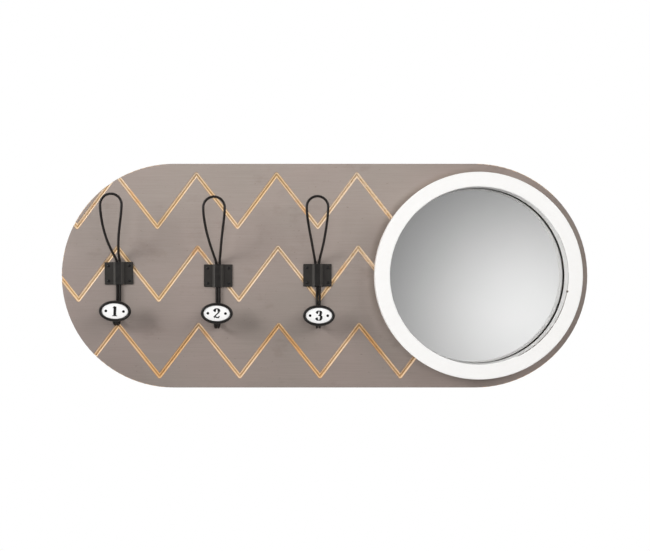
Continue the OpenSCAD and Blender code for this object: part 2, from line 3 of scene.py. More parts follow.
import bmesh
import bpy
import numpy as np
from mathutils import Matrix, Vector


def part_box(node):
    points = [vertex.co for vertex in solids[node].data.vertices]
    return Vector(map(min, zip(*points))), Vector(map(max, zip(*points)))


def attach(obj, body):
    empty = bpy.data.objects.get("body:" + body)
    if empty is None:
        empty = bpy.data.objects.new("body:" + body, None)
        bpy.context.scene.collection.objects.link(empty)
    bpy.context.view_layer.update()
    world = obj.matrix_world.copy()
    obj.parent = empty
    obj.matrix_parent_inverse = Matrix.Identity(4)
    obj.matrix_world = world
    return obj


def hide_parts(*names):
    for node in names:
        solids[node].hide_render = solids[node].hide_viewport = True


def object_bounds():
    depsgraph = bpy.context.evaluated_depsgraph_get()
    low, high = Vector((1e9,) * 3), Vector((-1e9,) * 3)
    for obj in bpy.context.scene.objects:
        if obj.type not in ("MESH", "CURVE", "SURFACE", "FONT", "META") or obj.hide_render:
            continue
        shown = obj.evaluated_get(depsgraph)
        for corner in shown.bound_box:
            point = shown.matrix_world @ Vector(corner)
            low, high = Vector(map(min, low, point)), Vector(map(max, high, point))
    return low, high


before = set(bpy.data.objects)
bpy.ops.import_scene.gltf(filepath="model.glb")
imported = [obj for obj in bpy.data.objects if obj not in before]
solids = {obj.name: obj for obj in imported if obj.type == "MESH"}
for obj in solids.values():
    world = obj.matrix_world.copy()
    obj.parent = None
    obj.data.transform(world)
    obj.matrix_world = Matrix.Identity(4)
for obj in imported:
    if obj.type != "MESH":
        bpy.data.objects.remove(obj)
solidBox = [list(corner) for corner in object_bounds()]
mm = 0.001
print("frame loaded,", len(solids), "solids")

# The camera, which comes first

view = {
    "sideways": 0.6 * mm,  # right of the board's middle
    "height": 0.2 * mm,  # above it
    "distance": 1041 * mm,  # from the board's face
    "frameWidth": 865 * mm,  # what the picture takes in at the board's face
    "sensor": 36,  # width of the camera's sensor in millimetres
    "nearest": 20 * mm,  # nothing nearer is drawn
}


def makeCamera():
    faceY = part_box("board")[0].y
    data = bpy.data.cameras.new("camera")
    data.sensor_fit = "HORIZONTAL"
    data.sensor_width = view["sensor"]
    data.lens = view["sensor"] * view["distance"] / view["frameWidth"]
    data.clip_start = view["nearest"]
    camera = bpy.data.objects.new("camera", data)
    camera.location = (view["sideways"], faceY - view["distance"], view["height"])
    camera.rotation_euler = (math.radians(90), 0, 0)
    bpy.context.scene.collection.objects.link(camera)
    bpy.context.scene.camera = camera


makeCamera()
bpy.context.scene.view_settings.view_transform = "Standard"
print("camera placed")


# Shorthands for building materials

def newMaterial(name):
    material = bpy.data.materials.new(name)
    material.use_nodes = True
    tree = material.node_tree
    tree.nodes.clear()
    output = tree.nodes.new("ShaderNodeOutputMaterial")
    shader = tree.nodes.new("ShaderNodeBsdfPrincipled")
    output.name, shader.name = "output", "shader"
    tree.links.new(shader.outputs["BSDF"], output.inputs["Surface"])
    at = tree.nodes.new("ShaderNodeTexCoord").outputs["Object"]  # a place on the object
    return material, at


def newNode(kind, *values):
    # beside the first of the values that is another node's output
    first = next(value for value in values if isinstance(value, bpy.types.NodeSocket))
    return first.id_data.nodes.new(kind)


def plug(socket, value):
    # a value may be another node's output, or a number or colour for the socket itself
    if isinstance(value, bpy.types.NodeSocket):
        socket.id_data.links.new(value, socket)
    elif hasattr(socket.default_value, "__len__") and len(socket.default_value) == 4:
        socket.default_value = (*value, 1) if len(value) == 3 else value
    else:
        socket.default_value = value


def dress(material, colour, roughness, normal=None, others=()):
    # others: values for more of the shader's sockets, by name
    values = {"Base Color": colour, "Roughness": roughness, **dict(others)}
    if normal:
        values["Normal"] = normal
    for name, value in values.items():
        plug(material.node_tree.nodes["shader"].inputs[name], value)
    return material


def sums(operation, *values):
    node = newNode("ShaderNodeMath", *values)
    node.operation = operation
    for socket, value in zip(node.inputs, values):
        plug(socket, value)
    return node.outputs[0]


def plus(first, second):
    return sums("ADD", first, second)


def minus(first, second):
    return sums("SUBTRACT", first, second)


def times(first, second):
    return sums("MULTIPLY", first, second)


def farFrom(first, second):
    # distance from an axis: the root of first * first + second * second
    return sums("SQRT", plus(times(first, first), times(second, second)))


def axes(vector):
    node = newNode("ShaderNodeSeparateXYZ", vector)
    plug(node.inputs[0], vector)
    return node.outputs


def stretched(vector, scale):
    node = newNode("ShaderNodeMapping", vector)
    plug(node.inputs["Vector"], vector)
    node.inputs["Scale"].default_value = scale
    return node.outputs[0]


def span(value, low, high, toLow=0.0, toHigh=1.0, smooth=True):
    node = newNode("ShaderNodeMapRange", value)
    node.interpolation_type = "SMOOTHSTEP" if smooth else "LINEAR"
    for name, number in (("Value", value), ("From Min", low), ("From Max", high),
                         ("To Min", toLow), ("To Max", toHigh)):
        plug(node.inputs[name], number)
    return node.outputs[0]


def ramp(factor, stops):
    node = newNode("ShaderNodeValToRGB", factor)
    plug(node.inputs[0], factor)
    elements = node.color_ramp.elements
    for position, _ in stops[2:]:
        elements.new(position)
    for element, (position, colour) in zip(elements, stops):
        element.position = position
        element.color = (*colour, 1)
    return node.outputs["Color"]


def blend(factor, first, second, mode="MIX"):
    node = newNode("ShaderNodeMix", factor, first, second)
    node.data_type = "RGBA"
    node.blend_type = mode
    plug(node.inputs["Factor"], factor)
    plug(node.inputs[6], first)
    plug(node.inputs[7], second)
    return node.outputs[2]


def bumped(height, facts):
    node = newNode("ShaderNodeBump", height)
    node.inputs["Strength"].default_value = facts["strength"]
    node.inputs["Distance"].default_value = facts["height"]
    plug(node.inputs["Height"], height)
    return node.outputs[0]


# The dictionaries below describe each pattern by facts: scale, detail, roughness and stretch are
# those of its speckles, and it grows from least to most as they go over the two values of over.

def speckle(at, facts):
    if "stretch" in facts:
        at = stretched(at, facts["stretch"])
    node = newNode("ShaderNodeTexNoise", at)
    plug(node.inputs["Vector"], at)
    node.inputs["Scale"].default_value = facts["scale"]
    node.inputs["Detail"].default_value = facts.get("detail", 3)
    node.inputs["Roughness"].default_value = facts.get("roughness", 0.5)
    return node.outputs["Fac"]


def amount(value, facts):
    return span(value, *facts["over"], facts.get("least", 0), facts.get("most", 1))


def tinted(colour, value, facts, mode="MULTIPLY"):
    # the colour takes on the facts' tint as the value goes over its two values
    return blend(amount(value, facts), colour, facts["tint"], mode)


def marked(colour, at, facts, mode="MULTIPLY"):
    # the same, with the facts' own speckles as the value
    return tinted(colour, speckle(at, facts), facts, mode)


# The board: a thin taupe wash on the face and edge, bare wood in the grooves, raw back

board = {
    "thickness": 15 * mm,
    "straightHalf": 201 * mm,  # from the middle to the centres of the round ends
    "endRadius": 149 * mm,
    "edgeRound": 1 * mm,
    "edgeSlack": 0.2,  # what edgeFall() adds for each distance into the rounding
    "grooveDepth": 2.8 * mm,
    "frontPart": 6 * mm,  # a cut this near the face is a groove, a deeper one a pocket
    # the wash, and its drift towards a cooler tone
    "wash": (0.366, 0.308, 0.275),
    "washWarm": (0.389, 0.316, 0.286),
    "cloudiness": 0.5,
    "clouds": dict(scale=9, over=(0.3, 0.7), tint=(0.344, 0.300, 0.266)),
    # painted shade, as a darker wash: along the lower edge (over z), towards the right
    # end's top (over x + slant * z) and towards the left end (over x); and a painted shadow
    # round the ring's foot, to the upper left (over up * z - left * x from the ring's middle)
    "below": dict(over=(130 * mm, -130 * mm), tint=(0.765, 0.755, 0.755)),
    "atEnd": dict(slant=0.5, over=(150 * mm, 310 * mm), tint=(0.80, 0.79, 0.78)),
    "atLeft": dict(over=(-160 * mm, -330 * mm), tint=(0.93, 0.92, 0.93)),
    "nearRing": (146.25 * mm, 135.25 * mm),
    "paintedRingShadow": dict(up=0.6, left=0.8, over=(20 * mm, 95 * mm), tint=(0.77, 0.75, 0.72)),
    # brush marks and dirt
    "streaks": dict(stretch=(3, 1, 160), scale=5, detail=5, roughness=0.62, over=(0.25, 0.75),
                    most=0.55, tint=(0.86, 0.855, 0.85)),
    "fibres": dict(stretch=(14, 1, 700), scale=4, detail=4, roughness=0.6, over=(0.55, 0.8),
                   most=0.30, tint=(0.62, 0.58, 0.56)),
    "smudges": dict(stretch=(1, 1, 1.6), scale=24, detail=4, roughness=0.65, over=(0.56, 0.74),
                    most=0.5, tint=(0.80, 0.77, 0.755)),
    "specks": dict(stretch=(1, 1, 1.8), scale=210, detail=2, over=(0.70, 0.76), most=0.45,
                   tint=(0.45, 0.40, 0.37)),
    "sheen": dict(over=(0.2, 0.8), least=0.62, most=0.78),  # roughness over the streaks
    "shine": 0.35,
    "tooth": dict(scale=1500, detail=2),
    "relief": dict(streaks=0.6, tooth=0.4, height=0.12 * mm, strength=0.5),
    # a groove's lip, bared wood and valley, over the share of its depth
    "cutColours": [(0.08, (0.44, 0.28, 0.17)), (0.30, (0.88, 0.725, 0.555)),
                   (0.52, (0.88, 0.725, 0.555)), (0.78, (0.58, 0.40, 0.225)),
                   (1.0, (0.58, 0.40, 0.225))],
    "rag": 0.10,  # how far those shares waver
    "wobble": dict(scale=900, roughness=0.7),
    "golden": dict(scale=11, detail=2, over=(0.42, 0.62), most=0.8, tint=(0.95, 0.87, 0.70)),
    "lowestRow": (-50 * mm, -75 * mm),
    "orange": dict(over=(0.30, 0.60), least=0.3, most=0.9, tint=(0.86, 0.72, 0.54)),
    # towards the ring the cut is paler and more ragged, from these places on
    "paleAcross": (-5 * mm, 35 * mm),
    "paleUp": (-60 * mm, -30 * mm),
    "pale": (0.80, 0.66, 0.52),
    "fluff": dict(scale=190, roughness=0.7, over=(0.42, 0.62), least=0.05, most=0.65),
    "scorched": dict(scale=34, roughness=0.6, over=(0.56, 0.70), most=0.62,
                     tint=(0.66, 0.36, 0.15)),
    "grain": dict(stretch=(60, 60, 900), scale=3, over=(0.4, 0.75), most=0.35,
                  tint=(0.86, 0.72, 0.58)),
    # how sharply the cut's colour sets in, from the outline and below the face
    "cutFromEdge": (0.10 * mm, 0.18 * mm),
    "cutBelowFace": (0.02 * mm, 0.10 * mm),
    # raw fibreboard on the back and in its pockets
    "raw": (0.46, 0.33, 0.21),
    "fleck": dict(scale=700, detail=4, roughness=0.75, over=(0.3, 0.7), tint=(0.60, 0.46, 0.31)),
    "back": (-0.6 * mm, -0.3 * mm),
    "pocket": (1.0 * mm, 1.4 * mm),
}


def washColour(at, streaks):
    x, _, z = axes(at)
    wash = marked(board["washWarm"], at, board["clouds"], "MIX")
    wash = blend(board["cloudiness"], board["wash"], wash)
    # painted shade: darker towards the lower edge and towards the right end's top
    wash = tinted(wash, z, board["below"])
    toTheEnd = plus(x, times(z, board["atEnd"]["slant"]))
    wash = tinted(wash, toTheEnd, board["atEnd"])
    # painted shadow on the wash round the ring's foot, strongest to the upper left
    paintedRingShadow = board["paintedRingShadow"]
    fromAxis = minus(x, board["straightHalf"])
    nearRing = span(farFrom(fromAxis, z), *board["nearRing"])
    upperLeft = minus(times(z, paintedRingShadow["up"]), times(fromAxis, paintedRingShadow["left"]))
    nearRing = times(nearRing, amount(upperLeft, paintedRingShadow))
    wash = blend(nearRing, wash, paintedRingShadow["tint"], "MULTIPLY")
    # painted shade: darker towards the left end
    wash = tinted(wash, x, board["atLeft"])
    wash = tinted(wash, streaks, board["streaks"])
    for name in ("fibres", "smudges", "specks"):
        wash = marked(wash, at, board[name])
    return wash


def cutWood(at, depth):
    x, _, z = axes(at)
    share = sums("DIVIDE", depth, board["grooveDepth"])
    rag = board["rag"]
    wobble = span(speckle(at, board["wobble"]), 0, 1, -rag, rag, smooth=False)
    wood = ramp(plus(share, wobble), board["cutColours"])
    golden = speckle(at, board["golden"])
    wood = tinted(wood, golden, board["golden"])
    lowest = times(span(z, *board["lowestRow"]), amount(golden, board["orange"]))
    wood = blend(lowest, wood, board["orange"]["tint"], "MULTIPLY")
    towardsRing = times(span(x, *board["paleAcross"]), span(z, *board["paleUp"]))
    fluff = amount(speckle(at, board["fluff"]), board["fluff"])
    wood = blend(times(towardsRing, fluff), wood, board["pale"])
    wood = marked(wood, at, board["scorched"], "MIX")
    return marked(wood, at, board["grain"])


def edgeFall(fromEdge):
    # how deep the rounding r along the outline lies: r - root(r * r - into * into), and a little
    # more, so that it isn't taken for a groove
    r = board["edgeRound"]
    into = sums("MAXIMUM", minus(r, fromEdge), 0.0)
    left = sums("MAXIMUM", minus(r * r, times(into, into)), 0.0)
    return plus(minus(r, sums("SQRT", left)), times(into, board["edgeSlack"]))


def washedBoard():
    material, at = newMaterial("washedBoard")
    x, y, z = axes(at)
    depth = plus(y, board["thickness"])
    streaks = speckle(at, board["streaks"])

    # how far a point lies inside the outline
    past = sums("MAXIMUM", minus(sums("ABSOLUTE", x), board["straightHalf"]), 0.0)
    fromEdge = minus(board["endRadius"], farFrom(past, z))
    frontPart = -board["thickness"] + board["frontPart"]
    cut = times(span(fromEdge, *board["cutFromEdge"]),
                span(minus(depth, edgeFall(fromEdge)), *board["cutBelowFace"]))
    cut = times(cut, sums("LESS_THAN", y, frontPart))
    pocket = times(span(fromEdge, *board["pocket"]), sums("GREATER_THAN", y, frontPart))
    bare = sums("MAXIMUM", span(y, *board["back"]), pocket)

    colour = blend(cut, washColour(at, streaks), cutWood(at, depth))
    colour = blend(bare, colour, marked(board["raw"], at, board["fleck"], "MIX"))
    relief = board["relief"]
    height = plus(times(streaks, relief["streaks"]),
                  times(speckle(at, board["tooth"]), relief["tooth"]))
    return dress(material, colour, amount(streaks, board["sheen"]),
                 bumped(height, relief), {"Specular IOR Level": board["shine"]})


# The ring round the mirror: white satin paint, rubbed through along its inner front edge from 30
# degrees above the mirror's right to 65 below it, and most of all low down

ring = {
    "centreX": 201 * mm,
    "paint": (0.945, 0.935, 0.92),
    "brushed": dict(stretch=(40, 40, 40), scale=6, detail=4, roughness=0.6, over=(0.3, 0.75),
                    most=0.10, tint=(0.90, 0.87, 0.82)),
    "sheen": dict(over=(0.2, 0.8), least=0.36, most=0.46),
    "shine": 0.4,
    "stipple": dict(scale=2200, detail=2),
    "relief": dict(height=0.03 * mm, strength=0.35),
    "underPaint": (0.075, 0.055, 0.040),
    # the rubbed line: where it ends outwards and begins towards the front, the way from the
    # mirror's middle to the line's, and where along that way it begins
    "outwards": dict(over=(116.53 * mm, 116.67 * mm), least=1, most=0),
    "forwards": (-38.1 * mm, -38.25 * mm),
    "way": (0.954, -0.300),
    "along": (76 * mm, 84 * mm),
    "patches": dict(scale=120, roughness=0.7, over=(0.32, 0.48), least=0.6),
    "lowDown": dict(over=(10 * mm, -55 * mm), least=0.42, most=0.95),
    "chip": (315.4 * mm, -38.8 * mm, -20.5 * mm),  # a small chip in the same edge
    "chipSize": 2.0 * mm,
    "chipFlat": 0.6,  # share of its size that is bare all through
}


def fromMirror(at):
    # a place's distance from the mirror's axis, sideways and straight, and its y and z
    x, y, z = axes(at)
    fromAxis = minus(x, ring["centreX"])
    return fromAxis, farFrom(fromAxis, z), y, z


def whiteRingPaint():
    material, at = newMaterial("whiteRingPaint")
    fromAxis, radius, y, z = fromMirror(at)
    brushed = speckle(at, ring["brushed"])
    paint = tinted(ring["paint"], brushed, ring["brushed"])
    onEdge = times(amount(radius, ring["outwards"]), span(y, *ring["forwards"]))
    across, up = ring["way"]
    onTheWay = minus(times(fromAxis, across), times(z, -up))
    toTheRight = span(onTheWay, *ring["along"])
    patchy = amount(speckle(at, ring["patches"]), ring["patches"])
    rubbed = times(times(onEdge, toTheRight), times(patchy, amount(z, ring["lowDown"])))
    fromChip = newNode("ShaderNodeVectorMath", at)
    fromChip.operation = "DISTANCE"
    plug(fromChip.inputs[0], at)
    fromChip.inputs[1].default_value = ring["chip"]
    size = ring["chipSize"]
    bare = sums("MAXIMUM", rubbed, span(fromChip.outputs["Value"], size, ring["chipFlat"] * size))
    return dress(material, blend(bare, paint, ring["underPaint"]), amount(brushed, ring["sheen"]),
                 bumped(speckle(at, ring["stipple"]), ring["relief"]),
                 {"Specular IOR Level": ring["shine"]})


# Black lacquer on wire, sheet and cups: satin, with a fine orange peel

lacquer = {
    "peel": dict(scale=1800, detail=2),
    "peelStrength": 0.5,
    "clouds": dict(scale=120, over=(0.35, 0.75), most=0.6),
    "paler": (1.5, 0.002),  # the clouds' colour: so many times the base's, and this more
    "sheenOver": (0.3, 0.7),  # speckles over which the roughness goes
    "smoother": 0.05,  # from so much less than the given roughness
    "rougher": 0.07,  # to so much more
}


def blackLacquer(name, base, roughness, peel=0.02, shine=0.3):
    material, at = newMaterial(name)
    broad = speckle(at, lacquer["clouds"])
    factor, more = lacquer["paler"]
    lighter = tuple(factor * channel + more for channel in base)
    return dress(material, blend(amount(broad, lacquer["clouds"]), base, lighter),
                 span(broad, *lacquer["sheenOver"], roughness - lacquer["smoother"],
                      roughness + lacquer["rougher"]),
                 bumped(speckle(at, lacquer["peel"]),
                        dict(height=peel * mm, strength=lacquer["peelStrength"])),
                 {"Specular IOR Level": shine})


# The brackets' sheet: matt flanges, patches of dust, and painted shade on the channel's
# flat top and painted highlights on its slopes

bracket = {
    "flange": (0.0210, 0.0185, 0.0165),
    # painted shade on the channel's top and painted highlight on its slopes: darker and lighter
    # black
    "channel": (0.0085, 0.0072, 0.0065),
    "paintedHighlightSlope": (0.0420, 0.0380, 0.0340),
    "firstX": -273.4 * mm,  # the first bracket's middle
    "pitch": 132 * mm,
    "toSlope": (3.2 * mm, 4.2 * mm),  # from the middle, where the flat top ends
    "toFlange": (6.5 * mm, 7.5 * mm),  # and where the slope meets the board
    "dust": (0.030, 0.027, 0.024),
    "worn": dict(scale=150, detail=4, roughness=0.7, over=(0.35, 0.75), most=0.5),
    "drawn": dict(stretch=(900, 1, 40), scale=2, over=(0.3, 0.7)),
    "sheen": dict(over=(0.3, 0.7), least=0.41, most=0.55),
    "shine": 0.35,
    "relief": dict(height=0.03 * mm, strength=0.5),
}


def bracketLacquer():
    material, at = newMaterial("blackSheet")
    x = axes(at)[0]
    half = bracket["pitch"] / 2
    off = sums("ABSOLUTE", sums("WRAP", minus(x, bracket["firstX"]), half, -half))
    # painted shade on the channel's flat top, painted highlights on its slopes
    colour = blend(span(off, *bracket["toSlope"]), bracket["channel"], bracket["paintedHighlightSlope"])
    colour = blend(span(off, *bracket["toFlange"]), colour, bracket["flange"])
    broad = speckle(at, bracket["worn"])
    worn = times(amount(broad, bracket["worn"]),
                 amount(speckle(at, bracket["drawn"]), bracket["drawn"]))
    return dress(material, blend(worn, colour, bracket["dust"]), amount(broad, bracket["sheen"]),
                 bumped(speckle(at, lacquer["peel"]), bracket["relief"]),
                 {"Specular IOR Level": bracket["shine"]})


# The other finishes: white enamel, bright zinc, foam, the mirror's metal film and its pane

enamel = {
    "white": (0.97, 0.96, 0.955),
    "flow": dict(scale=160, detail=2, over=(0.35, 0.7), tint=(0.94, 0.93, 0.92)),
    "roughness": 0.22,
    "coat": 0.4,
    "coatRoughness": 0.08,
    "relief": dict(height=0.06 * mm, strength=0.3),
}


def whiteEnamel():
    material, at = newMaterial("whiteEnamel")
    flow = speckle(at, enamel["flow"])
    return dress(material, tinted(enamel["white"], flow, enamel["flow"], "MIX"),
                 enamel["roughness"], bumped(flow, enamel["relief"]),
                 {"Coat Weight": enamel["coat"], "Coat Roughness": enamel["coatRoughness"]})


zinc = {
    "darker": 0.72,  # colour of the spangle's dark side, as a share of the base's
    "spangle": dict(scale=260, detail=4, roughness=0.7, over=(0.35, 0.7)),
    "rolled": dict(stretch=(400, 30, 20), scale=5, over=(0.3, 0.7), least=0.28, most=0.42),
    "relief": dict(height=0.01 * mm, strength=0.4),
}


def brightZinc(name, base):
    material, at = newMaterial(name)
    rolled = speckle(at, zinc["rolled"])
    darker = tuple(zinc["darker"] * channel for channel in base)
    spangle = amount(speckle(at, zinc["spangle"]), zinc["spangle"])
    return dress(material, blend(spangle, base, darker), amount(rolled, zinc["rolled"]),
                 bumped(rolled, zinc["relief"]), {"Metallic": 1.0})


foam = {
    "white": (0.80, 0.79, 0.75),
    "cells": dict(scale=1600, roughness=0.8, over=(0.3, 0.7), tint=(0.62, 0.61, 0.57)),
    "roughness": 0.9,
    "relief": dict(height=0.1 * mm, strength=0.6),
}


def whiteFoam():
    material, at = newMaterial("whiteFoam")
    cells = speckle(at, foam["cells"])
    return dress(material, tinted(foam["white"], cells, foam["cells"], "MIX"),
                 foam["roughness"], bumped(cells, foam["relief"]))


film = {
    "silver": (0.902, 0.902, 0.902),
    "cloudy": dict(scale=14, over=(0.3, 0.7), tint=(0.892, 0.892, 0.893)),
    "roughness": 0.015,
    "paintedRimShade": (0.12, 0.085, 0.065),
    # painted shade: the film is darker from this radius on, to the right of the middle
    "rim": (114.65 * mm, 115.35 * mm),
    "rightOf": (10 * mm, 60 * mm),
}


def silvering():
    material, at = newMaterial("silvering")
    fromAxis, radius, _, _ = fromMirror(at)
    # painted shade along the film's rim, to the right of the middle
    rim = times(span(radius, *film["rim"]), span(fromAxis, *film["rightOf"]))
    silver = marked(film["silver"], at, film["cloudy"], "MIX")
    return dress(material, blend(rim, silver, film["paintedRimShade"]), film["roughness"],
                 others={"Metallic": 1.0})


pane = {
    "clear": (0.990, 0.990, 0.988),
    "shade": dict(scale=20, detail=1, over=(0.3, 0.7), tint=(0.985, 0.987, 0.984)),
    "refraction": 1.52,
}


def clearPane():
    material, at = newMaterial("clearPane")
    return dress(material, marked(pane["clear"], at, pane["shade"], "MIX"), 0.0,
                 others={"Transmission Weight": 1.0, "IOR": pane["refraction"]})


finish = {
    "board": washedBoard(),
    "ring": whiteRingPaint(),
    "wire": blackLacquer("blackWire", (0.0085, 0.0063, 0.0052), 0.38),
    "sheet": bracketLacquer(),
    "cup": blackLacquer("blackCup", (0.0085, 0.0070, 0.0062), 0.34),
    "pin": blackLacquer("blackPin", (0.0020, 0.0018, 0.0018), 0.75, peel=0.01, shine=0.1),
    "screw": blackLacquer("blackScrew", (0.0060, 0.0055, 0.0055), 0.34),
    "ink": blackLacquer("blackInk", (0.0060, 0.0055, 0.0060), 0.34, peel=0.005),
    "enamel": whiteEnamel(),
    "zinc": brightZinc("brightZinc", (0.66, 0.67, 0.69)),
    "yellowZinc": brightZinc("yellowZinc", (0.74, 0.58, 0.27)),
    "foam": whiteFoam(),
    "silver": silvering(),
    "pane": clearPane(),
}
print("materials made,", len(finish))


# Finishes on the solids that stay in sight

def coat(nodeName, material):
    mesh = solids[nodeName].data
    mesh.materials.clear()
    mesh.materials.append(material)


coat("mirror_frame", finish["ring"])
coat("mirror_pads", finish["foam"])
coat("mirror_frame_screws", finish["yellowZinc"])
for side in ("left", "right"):
    coat(f"hanger_plate_{side}", finish["zinc"])
    coat(f"hanger_screws_{side}", finish["zinc"])
for number in (1, 2, 3):
    coat(f"hook_bracket_{number}", finish["sheet"])
    coat(f"bracket_screws_{number}", finish["screw"])
    coat(f"badge_pins_{number}", finish["pin"])
print("solids finished")


# Meshes from numpy grids. Pieces are drawn in the wall's plane in millimetres, x right, y up and
# z out from the wall, and stand() turns them up into the object's frame.

def stand(points):
    return np.stack([points[..., 0], -points[..., 2], points[..., 1]], axis=-1) * mm


def gridFaces(rows, columns):
    # one quad between each two rows next to each other and each two columns, the last of which
    # is next to the first
    start = np.arange(rows - 1)[:, None] * columns
    c = np.arange(columns)[None, :]
    following = (c + 1) % columns
    corners = np.stack([start + c, start + following, start + columns + following,
                        start + columns + c], axis=-1)
    return corners.reshape(-1, 4).tolist()


def capFaces(rows, columns):
    # one face over the first row and one over the last
    return [list(range(columns))[::-1], list(range((rows - 1) * columns, rows * columns))]


def putPiece(name, points, faces, material, replaced=(), flatFaces=()):
    mesh = bpy.data.meshes.new(name)
    mesh.from_pydata(stand(points).reshape(-1, 3).tolist(), [], faces)
    smooth = np.ones(len(mesh.polygons), dtype=bool)
    smooth[list(flatFaces)] = False
    mesh.polygons.foreach_set("use_smooth", smooth)
    mesh.materials.append(material)
    mesh.validate()
    piece = bpy.data.objects.new(name, mesh)
    bpy.context.scene.collection.objects.link(piece)
    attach(piece, "root")
    if replaced:
        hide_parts(*replaced)


def turned(points, degrees):
    # turned about z by the angle, counter-clockwise as seen from the front
    a = math.radians(degrees)
    x = points[..., 0] * math.cos(a) - points[..., 1] * math.sin(a)
    y = points[..., 0] * math.sin(a) + points[..., 1] * math.cos(a)
    return np.stack([x, y, points[..., 2]], axis=-1)


def middleOf(nodeName):
    low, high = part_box(nodeName)
    centre = (low + high) / 2
    return np.array([centre.x, centre.z, -high.y]) / mm  # in the wall's plane, at its back


# The board in sight: the solid with the lowest row's last stroke, which runs under the ring

lastStroke = {
    "corner": (100.75, -134.0),  # where the lowest row turns up for the last time
    "towards": (152.75, -65.6),  # its next corner would lie here, behind the mirror
    "length": 38.9,  # it ends under the ring's back
    "width": 6.0,
    "depth": 2.8,
    "over": 0.4,  # height of the cutter above the face
    "rimPoints": 13,  # round the cone's half
    "weld": 0.001 * mm,  # the solid's corners closer than this are one
    "sharpFrom": 30,  # edges that bend more stay sharp
}


def strokeCutter():
    # a V bit's way: a half cone of radius h at the corner, then a straight keel. Rim point k lies
    # at corner + h * (cos k * along + sin k * left), the keel a groove's depth below the face
    corner, towards = np.array(lastStroke["corner"]), np.array(lastStroke["towards"])
    along = (towards - corner) / np.linalg.norm(towards - corner)
    left = np.array([-along[1], along[0]])
    end = corner + lastStroke["length"] * along
    h = lastStroke["width"] / 2 * (1 + lastStroke["over"] / lastStroke["depth"])
    rim = lastStroke["rimPoints"]
    k = np.radians(np.linspace(90, 270, rim))[:, None]
    top = np.concatenate([corner + h * (np.cos(k) * along + np.sin(k) * left),
                          [end - h * left, end + h * left]])
    face = board["thickness"] / mm
    rimZ, keelZ = face + lastStroke["over"], face - lastStroke["depth"]
    points = np.concatenate([np.column_stack([top, np.full(len(top), rimZ)]),
                             np.column_stack([[corner, end], np.full(2, keelZ)])])
    last, endRight, endLeft, keel, keelEnd = range(rim - 1, rim + 4)
    faces = [list(range(rim + 2)), [endRight, last, keel, keelEnd], [0, endLeft, keelEnd, keel],
             [endLeft, endRight, keelEnd]]
    return points, faces + [[i + 1, i, keel] for i in range(last)]


def mergedBoard():
    # a copy of the board's solid, with the doubled corners of its triangles made one
    merged = bmesh.new()
    merged.from_mesh(solids["board"].data)
    bmesh.ops.remove_doubles(merged, verts=merged.verts, dist=lastStroke["weld"])
    welded = bpy.data.meshes.new("boardWelded")
    merged.to_mesh(welded)
    merged.free()
    points = np.empty(3 * len(welded.vertices))
    corners = np.empty(len(welded.loops), dtype=int)
    welded.vertices.foreach_get("co", points)
    welded.loops.foreach_get("vertex_index", corners)
    blank = bpy.data.meshes.new("boardBlank")
    blank.from_pydata(points.reshape(-1, 3).tolist(), [], corners.reshape(-1, 3).tolist())
    bpy.data.meshes.remove(welded)
    return blank


def boardWithLastStroke():
    points, faces = strokeCutter()
    cutterMesh = bpy.data.meshes.new("strokeCutter")
    cutterMesh.from_pydata(stand(points).tolist(), [], faces)
    cutter = bpy.data.objects.new("strokeCutter", cutterMesh)
    piece = bpy.data.objects.new("groovedBoard", mergedBoard())
    for thing in (cutter, piece):
        bpy.context.scene.collection.objects.link(thing)
    cut = piece.modifiers.new("lastStroke", "BOOLEAN")
    cut.operation, cut.solver, cut.object = "DIFFERENCE", "EXACT", cutter
    depsgraph = bpy.context.evaluated_depsgraph_get()
    finished = bpy.data.meshes.new_from_object(piece.evaluated_get(depsgraph))
    piece.modifiers.clear()
    piece.data = finished
    bpy.data.objects.remove(cutter)
    finished.polygons.foreach_set("use_smooth", np.ones(len(finished.polygons), dtype=bool))
    finished.set_sharp_from_angle(angle=math.radians(lastStroke["sharpFrom"]))
    finished.materials.clear()
    finished.materials.append(finish["board"])
    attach(piece, "root")
    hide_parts("board")
    print("board grooved,", len(finished.polygons), "faces")


boardWithLastStroke()


# The hook wire: a teardrop loop, two runs under the bracket and a lower bend

wire = {
    "radius": 1.65,
    "gap": 0.3,  # between the two runs
    "bracketHalf": 15,  # from the bracket's middle to its top
    "lift": 0.05,  # of the runs above the board
    "loopRadius": 13.7,
    "loopReach": 40.98,  # of the loop's top, out from the board
    "lean": 45,
    "lowerBend": 6,
    "upperBend": 72,
    "openPower": 4,  # how late the strands open below the sharp bend
    "spread": 0.11,  # slope at which they spread above it
    "steadyPower": 6,  # how late that slope ends
    "footBend": 9.5,
    "footClear": 6,  # straight part between the foot's bend and the run
    "tipAboveBadge": 4,
    "sides": 28,
    "points": dict(foot=40, below=8, run=16, sharpBend=14, lean=70, top=26),
}

# sway: how far the middle between the strands lies to the right below the bracket, at its top
# edge, at the height swayHeight and at the loop's top. exitHalf: half the strands' distance at
# the sharp bend
hooks = [
    dict(number=1, sway=(-0.2, -0.8, -1.7, 0.1), swayHeight=28, loopTop=101.6, exitHalf=2.5,
         footDrop=58.1, badgeDrop=49.3, badgeShift=1.3, badgeTurn=-2.0),
    dict(number=2, sway=(-0.1, -0.2, -0.2, 0.0), swayHeight=45, loopTop=101.0, exitHalf=2.8,
         footDrop=58.7, badgeDrop=49.0, badgeShift=1.5, badgeTurn=-1.0),
    dict(number=3, sway=(1.1, -0.4, 0.6, 0.4), swayHeight=45, loopTop=101.0, exitHalf=3.1,
         footDrop=59.3, badgeDrop=52.5, badgeShift=1.0, badgeTurn=-0.3),
]

